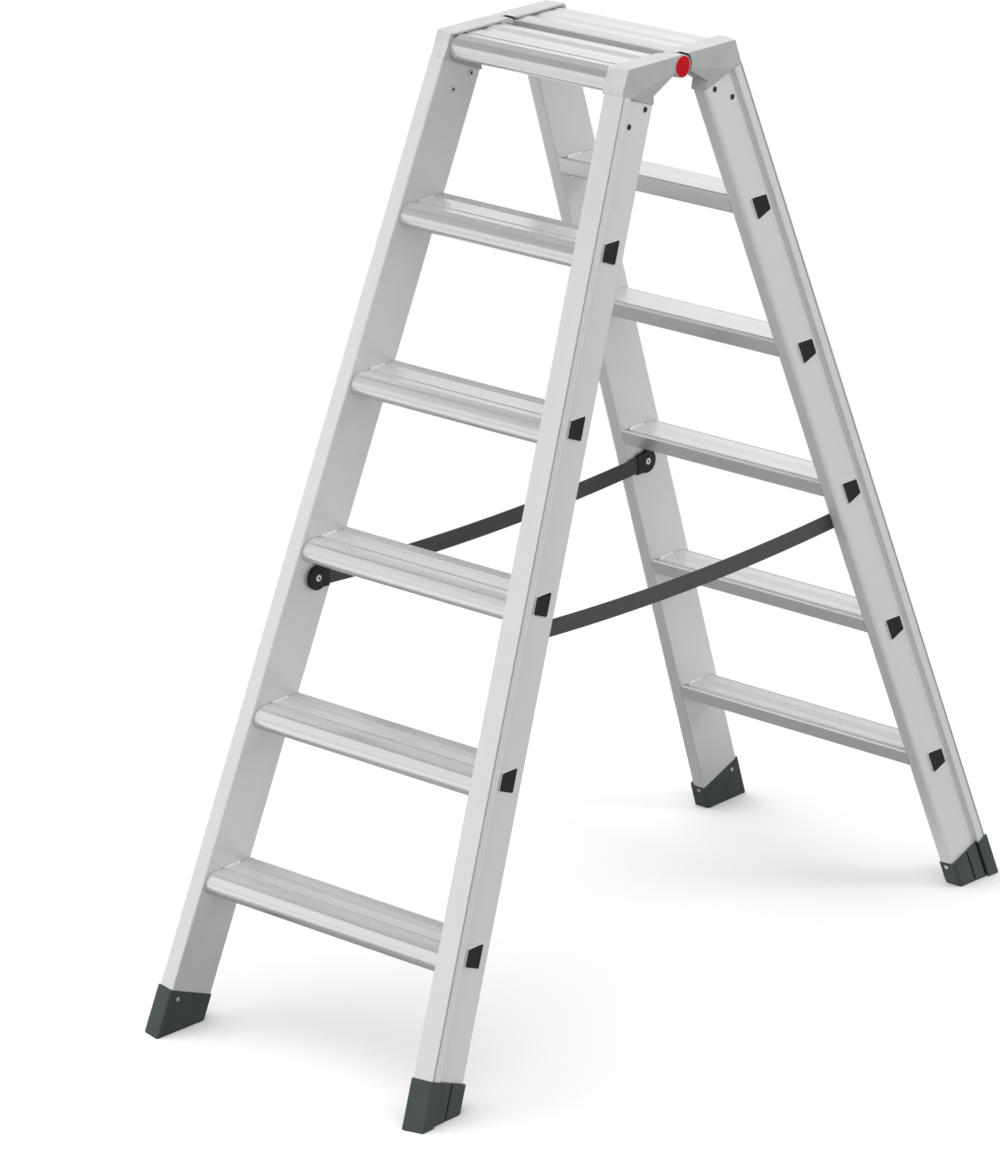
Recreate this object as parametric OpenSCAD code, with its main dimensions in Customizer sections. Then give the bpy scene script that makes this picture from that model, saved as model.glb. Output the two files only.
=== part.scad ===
// Trestle ladder: two climbable sections joined by hinge brackets at the top
// Each section is drawn in its own leaning frame, then placed front or back

/* [Overall] */
// Height from one tread to the next
rise = 235; // [210:1:260]
// Lean of each section from the vertical
lean = 21; // [17:0.5:24]
// Lean of each stile towards the middle of its section
splay = 3.5; // [2:0.1:5]
// Distance from the middle to the climbing line at platform level
head_half = 125.1; // [118:0.1:150]
// Half the width between the stiles at platform level
top_half = 150; // [135:0.5:190]

/* [Stiles] */
// Depth of a stile from its climbing line to its rear face
stile_depth = 85.8; // [80:0.1:95]
// Width of a stile at its thin web
stile_web = 24.5; // [22:0.1:28]
// Width of a stile at its raised side band
stile_band = 30.5; // [29:0.1:36]
// How far the front face falls back across the width
front_slant = 7; // [3:0.1:10]
// Depth of the raised side band from the climbing line
band_depth = 25; // [20:0.1:28]
// Wall of the stile
stile_wall = 2; // [1.5:0.1:2.6]
// Radius of the rear outer edge
rear_round = 6; // [4:0.1:8]
// Radius of the other edges
edge_round = 2.4; // [1.5:0.1:3]
// Distance of the lower stile end above the floor, along the stile
stile_low = 46; // [42:0.5:52]
// Distance of the upper stile end below platform level
head_cut = 31.5; // [28:0.5:36]

/* [Treads] */
// Wall of the treads
tread_wall = 2; // [1.6:0.1:2.4]
// Depth of the rounded nose
nose_depth = 14.5; // [12:0.1:17]
// Height of the rounded nose
nose_height = 34; // [30:0.5:38]
// Height of the tread's rear face
rear_height = 21.5; // [18:0.1:24]
// Depth of the grooves on top
groove = 0.8; // [0.4:0.1:1.1]
// Width of the grooves on top
groove_w = 2.4; // [1.5:0.1:4]
// Where the through chamber starts, from the climbing line
tube_a = 38.5; // [36:0.1:42]
// Where the through chamber ends
tube_b = 62.8; // [58:0.1:66]
// Distance of the chamber below the tread top
tube_t = 2.5; // [2.5:0.1:3.5]
// Drop of the chamber's lower wall on the climbing line
tube_k = 7.9; // [6:0.1:10]
// Width of the flared rim outside the stile
rim_w = 2.6; // [1.5:0.1:3.5]
// Thickness of the flared rim
rim_t = 1.8; // [1:0.1:2.5]
// Length of the plugs in the tread ends
plug_l = 10; // [6:0.5:16]
// How far the plugs stand out of the rim
plug_out = 0.4; // [0.2:0.1:1]
// Clearance between pieces that are fixed together
fit_gap = 0.12; // [0.05:0.01:0.2]

/* [Platform] */
// Half the gap between the two platform treads
platform_gap = 13; // [11:0.5:18]
// Height of the platform tread's body behind the nose
platform_h = 25; // [22:0.5:28]

/* [Hinge brackets] */
// Height of the bracket tops above the platform
bracket_lift = 3.4; // [2.8:0.1:5]
// Distance of the hinge axis below platform level
hinge_drop = 13.5; // [13:0.1:15]
// Radius of the hinge knuckles
knuckle_r = 16.8; // [16:0.1:16.9]
// Distance of the outer bracket face from the inner stile line at platform level
bracket_w = 31; // [30:0.5:36]
// How far the bracket stands inside the inner stile line
bracket_in = 0.8; // [0.6:0.1:2]
// How far the top strip reaches over the platform's ends
strip_lip = 2.2; // [1:0.1:4]
// Thickness of the top strip's reach
strip_t = 3; // [2:0.1:3.2]
// Gap round a knuckle
knuckle_gap = 3.8; // [1.5:0.1:4.2]
// Length of the spigot in the stile
spigot_l = 62; // [56:1:80]
// Clearance of the spigot in the stile
spigot_gap = 0.3; // [0.2:0.05:0.5]
// Length of the tongue in the platform's end
tongue_l = 22; // [15:1:30]
// Radius of the hinge pins
pin_r = 6; // [5:0.1:7]
// Radial running clearance of pins and rivets
run_gap = 0.05; // [0.02:0.01:0.09]
// Radius of the hinge caps
cap_r = 14.8; // [13.5:0.1:15]
// Depth of the recess for a cap
cap_recess = 2; // [1.5:0.1:2.5]
// How far a cap stands out of the bracket face
cap_out = 1.6; // [1.2:0.1:3.5]
// How far the rim round a cap stands out of the bracket face
rim_out = 0.8; // [0.4:0.1:1.2]
// Radius of the hinge washers
washer_r = 13; // [11:0.1:16]
// Thickness of the hinge washers
washer_t = 0.8; // [0.5:0.1:1.2]
// Play between a washer and its neighbours
side_play = 0.1; // [0.05:0.01:0.2]
// Radius of the bracket rivets
rivet_r = 3.8; // [3.2:0.1:4.2]
// Radius of the bracket rivets' heads
rivet_head_r = 5.4; // [4.8:0.1:6]
// Distance of the lower rivet below the stile's end
rivet_low = 38.3; // [35:0.1:44]
// Depth of the lower rivet from the climbing line
rivet_low_d = 40; // [36:0.5:44]
// Distance of the upper rivet below the stile's end
rivet_high = 8.3; // [7:0.1:14]
// Depth of the upper rivet from the climbing line
rivet_high_d = 68; // [62:0.5:70]

/* [Feet] */
// Wall of a foot in front of and outside the stile
foot_wall = 3; // [2.4:0.1:4]
// Wall of a foot behind and inside the stile
foot_thin = 1.3; // [1:0.1:2]
// Height of a foot's rim along the stile
foot_top = 74.5; // [72:0.5:90]
// How far the outer lobes stand out from the web
lobe_out = 5; // [4:0.1:6]
// Depth of the grooves between the lobes
lobe_groove = 3; // [2:0.1:3]
// Depth of the grooves under the sole
sole_groove = 2; // [1:0.1:4]
// Radius of the foot rivets' heads
foot_head_r = 3.6; // [3:0.1:4.5]
// Radius of the foot rivets
foot_rivet_r = 2; // [1.5:0.1:2.4]
// Height of the inner foot rivet along the stile
foot_rivet_l = 62; // [58:0.1:64]
// Depth of the inner foot rivet from the climbing line
foot_rivet_d = 17; // [12:0.5:24]

/* [Straps] */
// Height of the strap eyes along the climbing line
eye_s = 660; // [645:1:672]
// Depth of the strap eyes from the climbing line
eye_d = 49.5; // [46:0.5:56]
// Radius of a strap eye
eye_r = 18.5; // [17:0.1:19]
// Thickness of a strap eye
eye_t = 5; // [4:0.1:6]
// Gap between an eye and the stile
eye_gap = 1.4; // [1.3:0.1:2.5]
// Radius of a strap rivet
eye_rivet_r = 4; // [3:0.1:4.5]
// Radius of a strap rivet's head
eye_head_r = 5.4; // [5:0.1:7]
// Radius of the hole through a strap rivet
eye_hole_r = 1.8; // [1.2:0.1:2.2]
// Width of the webbing
strap_w = 26; // [20:0.5:26]
// Thickness of the webbing
strap_t = 2.2; // [1.5:0.1:2.6]
// Sag of the webbing at its middle
strap_sag = 13.5; // [5:0.5:25]
// Gap between the two halves of a strap
strap_gap = 0.3; // [0.2:0.05:1]

/* [Hidden] */
$fn = 48;
platform_z = 6 * rise;
tl = tan(lean);
cl = cos(lean);
sl = sin(lean);
cz = cos(splay) * cl;
half_spread = head_half + tl * platform_z;
inner_half = top_half + tan(splay) * platform_z / cl;
stile_top = (platform_z - head_cut) / cz;
slant = front_slant / stile_band;
skew = sqrt(1 + slant * slant);
hinge_z = platform_z - hinge_drop;
crease_z = hinge_z - 4;
strip_z = platform_z + bracket_lift;
arm_in = top_half - bracket_in;
arm_out = top_half + bracket_w;
arm_mid = (arm_in + arm_out) / 2;
half_wash = washer_t / 2 + side_play;
rear_u = stile_depth / cl - 0.4;
rear_y = -half_spread + stile_top * cos(splay) * sl + stile_depth * cl;
rear_z = stile_top * cz - stile_depth * sl;
plug_face = stile_web + rim_t + plug_out;
eye_l = eye_s / cz;
eye_y = -half_spread + eye_l * cos(splay) * sl + eye_d * cl;
eye_z = eye_l * cos(splay) * cl - eye_d * sl;
eye_face = inner_half - eye_l * sin(splay);
eye_x = eye_face - eye_gap - eye_t / 2;

// Frames: back turns a piece round, section leans it, on_stile follows a stile
module back() { rotate([0, 0, 180]) children(); }
module section() { translate([0, -half_spread, 0]) rotate([-lean, 0, 0]) children(); }
module on_stile(s) {
  section() translate([s * inner_half, 0, 0]) rotate([0, -s * splay, 0]) children();
}
module along_x(s, x0, x1) {
  translate([s > 0 ? x0 : -x1, 0, 0]) rotate([90, 0, 90]) linear_extrude(x1 - x0) children();
}
module x_rod(s, x0, x1, r) {
  translate([s * x0, 0, 0]) rotate([0, s * 90, 0]) cylinder(r = r, h = x1 - x0);
}

// Outline helpers: arc points, and a point of a stile's depth at a given height below a tread
function arc(cx, cy, r, a0, a1, n = 6) =
  [for (i = [0 : n]) let (a = a0 + (a1 - a0) * i / n) [cx + r * cos(a), cy + r * sin(a)]];
function side(s, pts) = [for (p = pts) [s * p[0], p[1]]];
function at_depth(d, v) = [d / cl + tl * v, v];
function climb_y(z) = -half_spread + tl * z;

// Stile outline, grown by g on every face, with its inner face moved by k
function stile_pts(g, k = 0) = let (r = edge_round, q = rear_round, h = stile_depth + g)
  concat(
    [[-g - k, slant * (-g - k) - g * skew + r], [-g - k + r, slant * (-g - k + r) - g * skew]],
    [[stile_band + g - 3 * r, slant * (stile_band + g - 3 * r) - g * skew]],
    [[stile_band + g, slant * (stile_band + g) - g * skew + r]],
    [[stile_band + g, band_depth + g], [stile_web + g, band_depth + g]],
    arc(stile_web + g - q, h - q, q, 0, 90),
    [[-g - k + r, h], [-g - k, h - r]]);
// Hollow inside the stile, shrunk by g
function hollow_pts(g) = let (w = stile_wall + g, b = stile_band - w, c = stile_web - w, q = rear_round)
  [[w, slant * w + w * skew], [b, slant * b + w * skew], [b, band_depth - w], [c, band_depth - w],
   [c, stile_depth - q], [stile_web - q, stile_depth - w], [w, stile_depth - w]];

// Through chamber of a tread, grown by g
function tube_pts(g) = let (a = tube_a - g, b = tube_b + g, t = -tube_t + g, k = tube_k + g)
  [at_depth(a, t), at_depth(b, t), at_depth(b, -k - b * sl), at_depth(a, -k - a * sl)];
module tread_2d(i) { translate([climb_y(i * rise), i * rise]) children(); }
module tube_bar(i, g, x = 400) { along_x(1, -x, x) tread_2d(i) polygon(tube_pts(g)); }

// Stile with chamber openings, rivet bores and the strap rivet's bore
module stile(s) {
  color("silver") difference() {
    on_stile(s) translate([0, 0, stile_low]) difference() {
      linear_extrude(stile_top - stile_low) polygon(side(s, stile_pts(0)));
      translate([0, 0, -1]) linear_extrude(stile_top - stile_low + 2) polygon(side(s, hollow_pts(0)));
    }
    for (i = [1 : 5]) tube_bar(i, tread_wall + fit_gap);
    bracket_rivet_bores(s);
    foot_rivet_bores(s);
    translate([0, eye_y, eye_z]) x_rod(s, eye_x, eye_face + 8, eye_rivet_r + run_gap);
  }
}
module bracket_rivet_bores(s) {
  on_stile(s) for (p = [[rivet_low, rivet_low_d], [rivet_high, rivet_high_d]])
    translate([0, p[1], stile_top - p[0]]) x_rod(s, -8, 50, rivet_r + run_gap);
}
module foot_rivet_bores(s) {
  on_stile(s) {
    translate([0, foot_rivet_d, foot_rivet_l]) x_rod(s, -8, 12, foot_rivet_r + run_gap);
    translate([s * 11, stile_depth + 8, foot_rivet_l + 5]) rotate([90, 0, 0])
      cylinder(r = foot_rivet_r + run_gap, h = 16);
  }
}

// Tread outline: top with grooves, rear face in line with the stiles, chamber floor, rounded nose
function nose_pts(g) = [for (i = [0 : 14]) let (a = 270 - 180 * i / 14)
  [nose_depth - 0.5 + (nose_depth - g) * cos(a), -nose_height / 2 + (nose_height / 2 - g) * sin(a)]];
function groove_at(u) = [[u - groove_w / 2 - 0.4, 0], [u - groove_w / 2, -groove],
  [u + groove_w / 2, -groove], [u + groove_w / 2 + 0.4, 0]];
function tread_pts() = let (w = tread_wall, e = tube_pts(w))
  concat(nose_pts(0), groove_at(19), groove_at(37),
    [[72, 0], [74.5, -groove], [rear_u - 0.8, -groove], [rear_u - 0.5, -groove - 0.6]],
    [[rear_u - tl * rear_height, -rear_height], at_depth(tube_b + w, -rear_height)],
    [e[2], e[3], [nose_depth + 5, -nose_height + 1]]);
function tread_front_hollow() = let (w = tread_wall)
  concat(nose_pts(w), [at_depth(tube_a - w, -w - groove), at_depth(tube_a - w, -20.5)],
    [[nose_depth + 4, -nose_height + w + 1]]);
function tread_rear_hollow() = let (w = tread_wall, h = -rear_height + w)
  [at_depth(tube_b + w, -w - groove), [rear_u - w - 1.2, -w - groove], [rear_u - w + tl * h, h],
   at_depth(tube_b + w, h)];

// Space between the two stiles' inner faces
module between() {
  h = platform_z / cl + 60;
  section() translate([0, 300, 0]) rotate([90, 0, 0]) linear_extrude(500)
    polygon([[-inner_half + fit_gap, 0], [inner_half - fit_gap, 0],
      [inner_half - tan(splay) * h - fit_gap, h], [-inner_half + tan(splay) * h + fit_gap, h]]);
}
// Space on the inner side of a plane beside a stile, at distance x from its inner face
module inside_of(x) {
  intersection_for (s = [-1, 1])
    on_stile(s) translate([s > 0 ? x - 900 : -x, -200, -100]) cube([900, 500, 1800]);
}
module tread(i) {
  color("gainsboro") difference() {
    union() {
      intersection() {
        along_x(1, -400, 400) tread_2d(i) difference() {
          polygon(tread_pts());
          polygon(tread_front_hollow());
          polygon(tread_rear_hollow());
        }
        between();
      }
      intersection() {
        tube_bar(i, tread_wall);
        inside_of(stile_web + fit_gap + rim_t);
      }
      for (s = [-1, 1]) intersection() {
        tube_bar(i, tread_wall + rim_w);
        on_stile(s) translate([s > 0 ? stile_web + fit_gap : -stile_web - fit_gap - rim_t, 0, 0])
          cube([rim_t, 120, 1700]);
      }
    }
    tube_bar(i, 0);
  }
}
module plugs() {
  color("black") for (i = [1 : 5]) for (s = [-1, 1]) intersection() {
    tube_bar(i, -fit_gap);
    on_stile(s) translate([s > 0 ? plug_face - plug_l : -plug_face, 0, 0])
      cube([plug_l, 120, 1700]);
  }
}

// Platform tread: the same nose on a deeper body, hollow for the bracket tongues
module platform() {
  r = head_half - platform_gap;
  color("gainsboro") along_x(1, -arm_in + fit_gap, arm_in - fit_gap) tread_2d(6) difference() {
    polygon(concat(nose_pts(0), groove_at(29), groove_at(38.5), groove_at(r - 24),
      [[r - 0.8, 0], [r, -0.8], [r, -platform_h], [nose_depth + 14, -platform_h],
       [nose_depth + 5, -nose_height + 1]]));
    polygon(concat(nose_pts(tread_wall), [[27, -tread_wall - groove], [27, -platform_h + tread_wall],
      [nose_depth + 4, -nose_height + tread_wall + 1]]));
    polygon([[29, -tread_wall - groove], [r - tread_wall, -tread_wall - groove],
      [r - tread_wall, -platform_h + tread_wall], [29, -platform_h + tread_wall]]);
  }
}

// Hinge bracket of a section; o is 1 where its knuckle is the outer one
function arm_pts() = let (r = 1.6, zt = strip_z, yt = climb_y(zt - r), zl = crease_z - 2)
  [[climb_y(zl), zl], [yt, zt - r], [yt + 0.5 * r, zt - 0.4 * r], [yt + 1.6 * r, zt], [0, zt], [0, zl]];
// Space under a bracket, from the knuckle down to the rear of the stile's end
function under_pts() = [[-10, hinge_z - 5.2], [rear_y - 2, rear_z + 16], [rear_y + 1.5, rear_z],
  [rear_y + 1.5, rear_z - 80], [60, rear_z - 80], [60, hinge_z - 5.2]];
module knuckle_rod(s, x0, x1, r) { translate([0, 0, hinge_z]) x_rod(s, x0, x1, r); }
module bracket(s, o) {
  k0 = o == 1 ? arm_mid + half_wash : arm_in;
  k1 = o == 1 ? arm_out : arm_mid - half_wash;
  c0 = o == 1 ? arm_in - 20 : arm_mid - half_wash;
  c1 = o == 1 ? arm_mid + half_wash : arm_out + 20;
  color("lightgray") difference() {
    union() {
      difference() {
        union() {
          on_stile(s) translate([0, 0, stile_top - spigot_l]) linear_extrude(spigot_l + 4)
            polygon(side(s, hollow_pts(spigot_gap)));
          bracket_head(s);
          along_x(s, arm_in, arm_out) polygon(arm_pts());
          bracket_lip(s);
          bracket_tongue(s);
        }
        on_stile(s) translate([0, 0, stile_top - 100]) linear_extrude(200)
          polygon(side(s, [[-30, -30 * slant], [60, 60 * slant], [60, -60], [-30, -60]]));
        along_x(s, arm_in - 2, arm_out + 20) polygon(under_pts());
        knuckle_rod(s, c0, c1, knuckle_r + knuckle_gap);
      }
      knuckle_rod(s, k0, k1, knuckle_r);
      if (o == 1) knuckle_rod(s, arm_out - 1, arm_out + rim_out, knuckle_r);
    }
    knuckle_rod(s, arm_in - 5, arm_out + 5, pin_r + run_gap);
    if (o == 1) knuckle_rod(s, arm_out - cap_recess, arm_out + 5, cap_r + run_gap);
    bracket_rivet_bores(s);
  }
}
// Head that widens from the stile's end to the arm's full width at the crease
function head_pts() = let (q = rear_round, h = stile_depth, k = -bracket_in - 1)
  concat([[k, -6], [stile_band - 1.6, -6], [stile_band - 1.8, band_depth]],
    arc(stile_web - q, h - q, q, 0, 90), [[k, h]]);
module bracket_head(s) {
  y = climb_y(crease_z) - 5;
  hull() {
    on_stile(s) translate([0, 0, stile_top + fit_gap]) linear_extrude(0.05) polygon(side(s, head_pts()));
    translate([s > 0 ? arm_in : -arm_out, y, crease_z]) cube([arm_out - arm_in, -y - 12, 0.05]);
  }
}
module bracket_lip(s) {
  y = climb_y(strip_z);
  translate([s > 0 ? arm_in - strip_lip : -arm_in - 1, y + 3, strip_z - strip_t])
    cube([strip_lip + 1, -y - 3 - knuckle_r, strip_t]);
}
module bracket_tongue(s) {
  r = head_half - platform_gap;
  g = 0.3;
  along_x(s, arm_in - tongue_l, arm_in + 5) tread_2d(6)
    polygon([[34, -tread_wall - groove - g], [r - 28, -tread_wall - groove - g],
      [r - 28, -platform_h + tread_wall + g], [34, -platform_h + tread_wall + g]]);
}
module bracket_rivets() {
  color("darkgray") for (s = [-1, 1]) on_stile(s)
    for (p = [[rivet_low, rivet_low_d], [rivet_high, rivet_high_d]]) translate([0, p[1], stile_top - p[0]])
      difference() {
        union() {
          x_rod(s, -1.4, stile_web + 0.8, rivet_r);
          x_rod(s, -1.4, -0.1, rivet_head_r);
          x_rod(s, stile_web + 0.1, stile_web + 0.8, rivet_r + 0.8);
        }
        x_rod(s, 3, stile_web + 5, rivet_r - 0.8);
      }
}
module hinge_pin(s) {
  color("dimgray") knuckle_rod(s, arm_in - 2.2, arm_out - cap_recess - 0.1, pin_r);
  color("dimgray") knuckle_rod(s, arm_in - 2.2, arm_in - 0.2, pin_r + 4);
}
module hinge_washer(s) {
  color("white") difference() {
    knuckle_rod(s, arm_mid - washer_t / 2, arm_mid + washer_t / 2, washer_r);
    knuckle_rod(s, arm_mid - 5, arm_mid + 5, pin_r + run_gap);
  }
}
module hinge_cap(s) {
  x0 = arm_out - cap_recess + 0.05;
  x1 = arm_out + cap_out;
  color("crimson") translate([s * x0, 0, hinge_z]) rotate([0, s * 90, 0])
    rotate_extrude() polygon([[0, 0], [cap_r, 0], [cap_r, x1 - x0 - 0.8], [cap_r - 0.8, x1 - x0 - 0.3],
      [cap_r - 2.2, x1 - x0], [0, x1 - x0]]);
}

// Foot: a cup round the stile's end, cut level at the floor, with lobes on its outer side
function foot_pts() = let (g = foot_wall, k = foot_thin, h = stile_depth + k)
  let (x = stile_web + lobe_out, y = x - lobe_groove) concat(
    [[-k, slant * -k - g * skew + 3], [-k + 3, slant * (-k + 3) - g * skew]],
    [[stile_band + g - 5, slant * (stile_band + g - 5) - g * skew],
     [stile_band + g, slant * (stile_band + g) - g * skew + 4]],
    [[stile_band + g, band_depth + 0.8], [stile_band + g - 1.4, band_depth + 2.4]],
    [[y, band_depth + 2.4], [y, band_depth + 5], [x - 0.8, band_depth + 5], [x, band_depth + 6]],
    [[x, 51], [x - 0.8, 52], [y, 52], [y, 54.6], [x - 0.8, 54.6], [x, 55.6]],
    arc(x - rear_round, h - rear_round, rear_round, 0, 90), [[-k + 3, h], [-k, h - 3]]);
module foot(s) {
  color("darkslategray") difference() {
    intersection() {
      on_stile(s) translate([0, 0, -30]) linear_extrude(foot_top + 30) polygon(side(s, foot_pts()));
      translate([-500, -900, 0]) cube([1000, 900, 300]);
    }
    on_stile(s) translate([0, 0, stile_low - 0.2]) linear_extrude(60)
      polygon(side(s, stile_pts(fit_gap)));
    for (d = [24, 48, 72]) translate([s > 0 ? 100 : -400, -half_spread + d - 2, -1])
      cube([300, 4, sole_groove + 1]);
    foot_rivet_bores(s);
  }
}
module foot_rivets() {
  h = stile_depth + foot_thin;
  color("silver") for (s = [-1, 1]) on_stile(s) {
    translate([0, foot_rivet_d, foot_rivet_l]) {
      x_rod(s, -foot_thin - 1.2, 4, foot_rivet_r);
      x_rod(s, -foot_thin - 1.2, -foot_thin - 0.1, foot_head_r);
    }
    translate([s * 11, h + 1.2, foot_rivet_l + 5]) rotate([90, 0, 0]) {
      cylinder(r = foot_rivet_r, h = 8);
      cylinder(r = foot_head_r, h = 1.1);
    }
  }
}

// Strap: two webbing halves that meet in the middle, each in a moulded eye on a hollow rivet
function strap_z(t) = eye_z - strap_sag * (1 - (1 - t) * (1 - t));
// Strip along the webbing's route from distance a to b from the eye, of half width h
function route(a, b, h, n) = let (ds = [for (i = [0 : n]) a + (b - a) * i / n])
  concat([for (d = ds) [eye_y + d, strap_z(-d / eye_y) - h]],
    [for (i = [n : -1 : 0]) [eye_y + ds[i], strap_z(-ds[i] / eye_y) + h]]);
function neck_pts(h) = let (b = strap_z(-24 / eye_y), c = strap_z(-26 / eye_y))
  [[eye_y, eye_z - h], [eye_y + 24, b - h], [eye_y + 26, c - h + 1.4], [eye_y + 26, c + h - 1.4],
   [eye_y + 24, b + h], [eye_y, eye_z + h]];
module eye(s) {
  color("black") difference() {
    union() {
      translate([0, eye_y, eye_z]) x_rod(s, eye_x - eye_t / 2, eye_x + eye_t / 2, eye_r);
      along_x(s, eye_x - eye_t / 2, eye_x + eye_t / 2) polygon(neck_pts(strap_w / 2 + 2.6));
    }
    translate([0, eye_y, eye_z]) x_rod(s, eye_x - 20, eye_x + 20, eye_rivet_r + run_gap);
    along_x(s, eye_x - strap_t / 2 - 0.2, eye_x + strap_t / 2 + 0.2)
      polygon(route(10, 40, strap_w / 2 + 0.4, 6));
  }
}
module strap(s) {
  color("dimgray") along_x(s, eye_x - strap_t / 2, eye_x + strap_t / 2)
    polygon(route(12, -eye_y - strap_gap / 2, strap_w / 2, 14));
}
module strap_rivets() {
  color("silver") for (s = [-1, 1]) translate([0, eye_y, eye_z]) difference() {
    union() {
      x_rod(s, eye_x - eye_t / 2 - 1.4, eye_face + 4, eye_rivet_r);
      x_rod(s, eye_x - eye_t / 2 - 1.4, eye_x - eye_t / 2 - 0.1, eye_head_r);
    }
    x_rod(s, eye_x - 20, eye_face + 20, eye_hole_r);
  }
}

// Pieces of the front section
stile(-1);  // stile_front_left
stile(1);  // stile_front_right
tread(1);  // tread_front_1
tread(2);  // tread_front_2
tread(3);  // tread_front_3
tread(4);  // tread_front_4
tread(5);  // tread_front_5
platform();  // platform_front
bracket(-1, 0);  // bracket_front_left
bracket(1, 1);  // bracket_front_right
foot(-1);  // foot_front_left
foot(1);  // foot_front_right
plugs();  // plugs_front
bracket_rivets();  // bracket_rivets_front
foot_rivets();  // foot_rivets_front
strap_rivets();  // strap_rivets_front
hinge_pin(-1);  // hinge_pin_left
hinge_pin(1);  // hinge_pin_right
hinge_washer(-1);  // hinge_washer_left
hinge_washer(1);  // hinge_washer_right
hinge_cap(-1);  // hinge_cap_left
hinge_cap(1);  // hinge_cap_right

// Pieces of the back section
back() stile(1);  // stile_back_left
back() stile(-1);  // stile_back_right
back() tread(1);  // tread_back_1
back() tread(2);  // tread_back_2
back() tread(3);  // tread_back_3
back() tread(4);  // tread_back_4
back() tread(5);  // tread_back_5
back() platform();  // platform_back
back() bracket(1, 1);  // bracket_back_left
back() bracket(-1, 0);  // bracket_back_right
back() foot(1);  // foot_back_left
back() foot(-1);  // foot_back_right
back() plugs();  // plugs_back
back() bracket_rivets();  // bracket_rivets_back
back() foot_rivets();  // foot_rivets_back
back() strap_rivets();  // strap_rivets_back

// Pieces of the straps
eye(-1);  // eye_front_left
eye(1);  // eye_front_right
back() eye(1);  // eye_back_left
back() eye(-1);  // eye_back_right
strap(-1);  // strap_front_left
strap(1);  // strap_front_right
back() strap(1);  // strap_back_left
back() strap(-1);  // strap_back_right
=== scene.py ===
import math

import bmesh
import bpy
import numpy as np
from mathutils import Matrix
from mathutils.geometry import tessellate_polygon


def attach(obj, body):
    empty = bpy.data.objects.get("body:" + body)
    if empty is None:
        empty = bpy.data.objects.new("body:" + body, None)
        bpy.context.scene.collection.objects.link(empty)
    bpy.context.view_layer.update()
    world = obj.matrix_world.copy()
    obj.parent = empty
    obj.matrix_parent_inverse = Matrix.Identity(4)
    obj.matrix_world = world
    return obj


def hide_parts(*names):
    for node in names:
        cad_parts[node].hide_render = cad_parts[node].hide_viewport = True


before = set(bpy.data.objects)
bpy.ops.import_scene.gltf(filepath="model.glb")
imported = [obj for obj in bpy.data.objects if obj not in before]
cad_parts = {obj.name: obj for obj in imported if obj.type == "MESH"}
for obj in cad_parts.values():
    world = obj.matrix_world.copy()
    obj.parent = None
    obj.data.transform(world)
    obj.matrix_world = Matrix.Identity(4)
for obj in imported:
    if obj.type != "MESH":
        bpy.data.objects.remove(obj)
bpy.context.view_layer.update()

# Camera: a long lens from the front right, about nine metres away and looking down 19 degrees.
# Its focal length is in pixels of a picture that is 1156 pixels high.
focal_pixels, picture_height, sensor_width = 6135.9, 1156, 36
camera_place = (5.623446, -6.441642, 3.530571)
heading, dip, tilt = np.radians([41.964, 18.968, -0.2149])
ahead = np.array([-np.sin(heading) * np.cos(dip), np.cos(heading) * np.cos(dip), -np.sin(dip)])
level = np.array([np.cos(heading), np.sin(heading), 0.0])
above = np.cross(level, ahead)
right_of = np.cos(tilt) * level + np.sin(tilt) * above
up_of = np.cos(tilt) * above - np.sin(tilt) * level
lens = bpy.data.cameras.new("camera")
lens.sensor_width, lens.sensor_fit = sensor_width, "AUTO"
lens.lens = sensor_width * focal_pixels / picture_height
lens.clip_end = 200
camera = bpy.data.objects.new("camera", lens)
camera.matrix_world = Matrix(
    [(right_of[i], up_of[i], -ahead[i], camera_place[i]) for i in range(3)] + [(0, 0, 0, 1)])
bpy.context.scene.collection.objects.link(camera)
bpy.context.scene.camera = camera
bpy.context.scene.view_settings.view_transform = "Standard"


# Studio: a white room. Its walls light the object softly, most from the front and above. Metal mirrors
# a glowing ring, a painted reflection, that is bright low down in front and higher up behind, and grey above
# that.
def node(tree, kind, **values):
    """A shader node of this kind: names of properties and of input sockets take the values given."""
    made = tree.nodes.new(kind)
    for key, value in values.items():
        name = key.replace("_", " ")
        if hasattr(made, key):
            setattr(made, key, value)
        else:
            made.inputs[name].default_value = value
    return made


def ramp(tree, source, low, high, to_low, to_high):
    """Smooth step of a number from one range to another."""
    made = node(tree, "ShaderNodeMapRange", interpolation_type="SMOOTHSTEP")
    tree.links.new(source, made.inputs["Value"])
    for name, value in zip(("From Min", "From Max", "To Min", "To Max"), (low, high, to_low, to_high)):
        made.inputs[name].default_value = value
    return made.outputs["Result"]


def maths(tree, operation, first, second):
    """Sum, product or other operation of two sockets or numbers."""
    made = node(tree, "ShaderNodeMath", operation=operation)
    for slot, value in zip(made.inputs, (first, second)):
        if isinstance(value, (int, float)):
            slot.default_value = value
        else:
            tree.links.new(value, slot)
    return made.outputs[0]


def towards(tree, direction):
    """How far a room direction points towards a given one, from -1 to 1."""
    made = node(tree, "ShaderNodeVectorMath", operation="DOT_PRODUCT")
    tree.links.new(node(tree, "ShaderNodeTexCoord").outputs["Generated"], made.inputs[0])
    made.inputs[1].default_value = np.array(direction) / np.linalg.norm(direction)
    return made.outputs["Value"]


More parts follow.
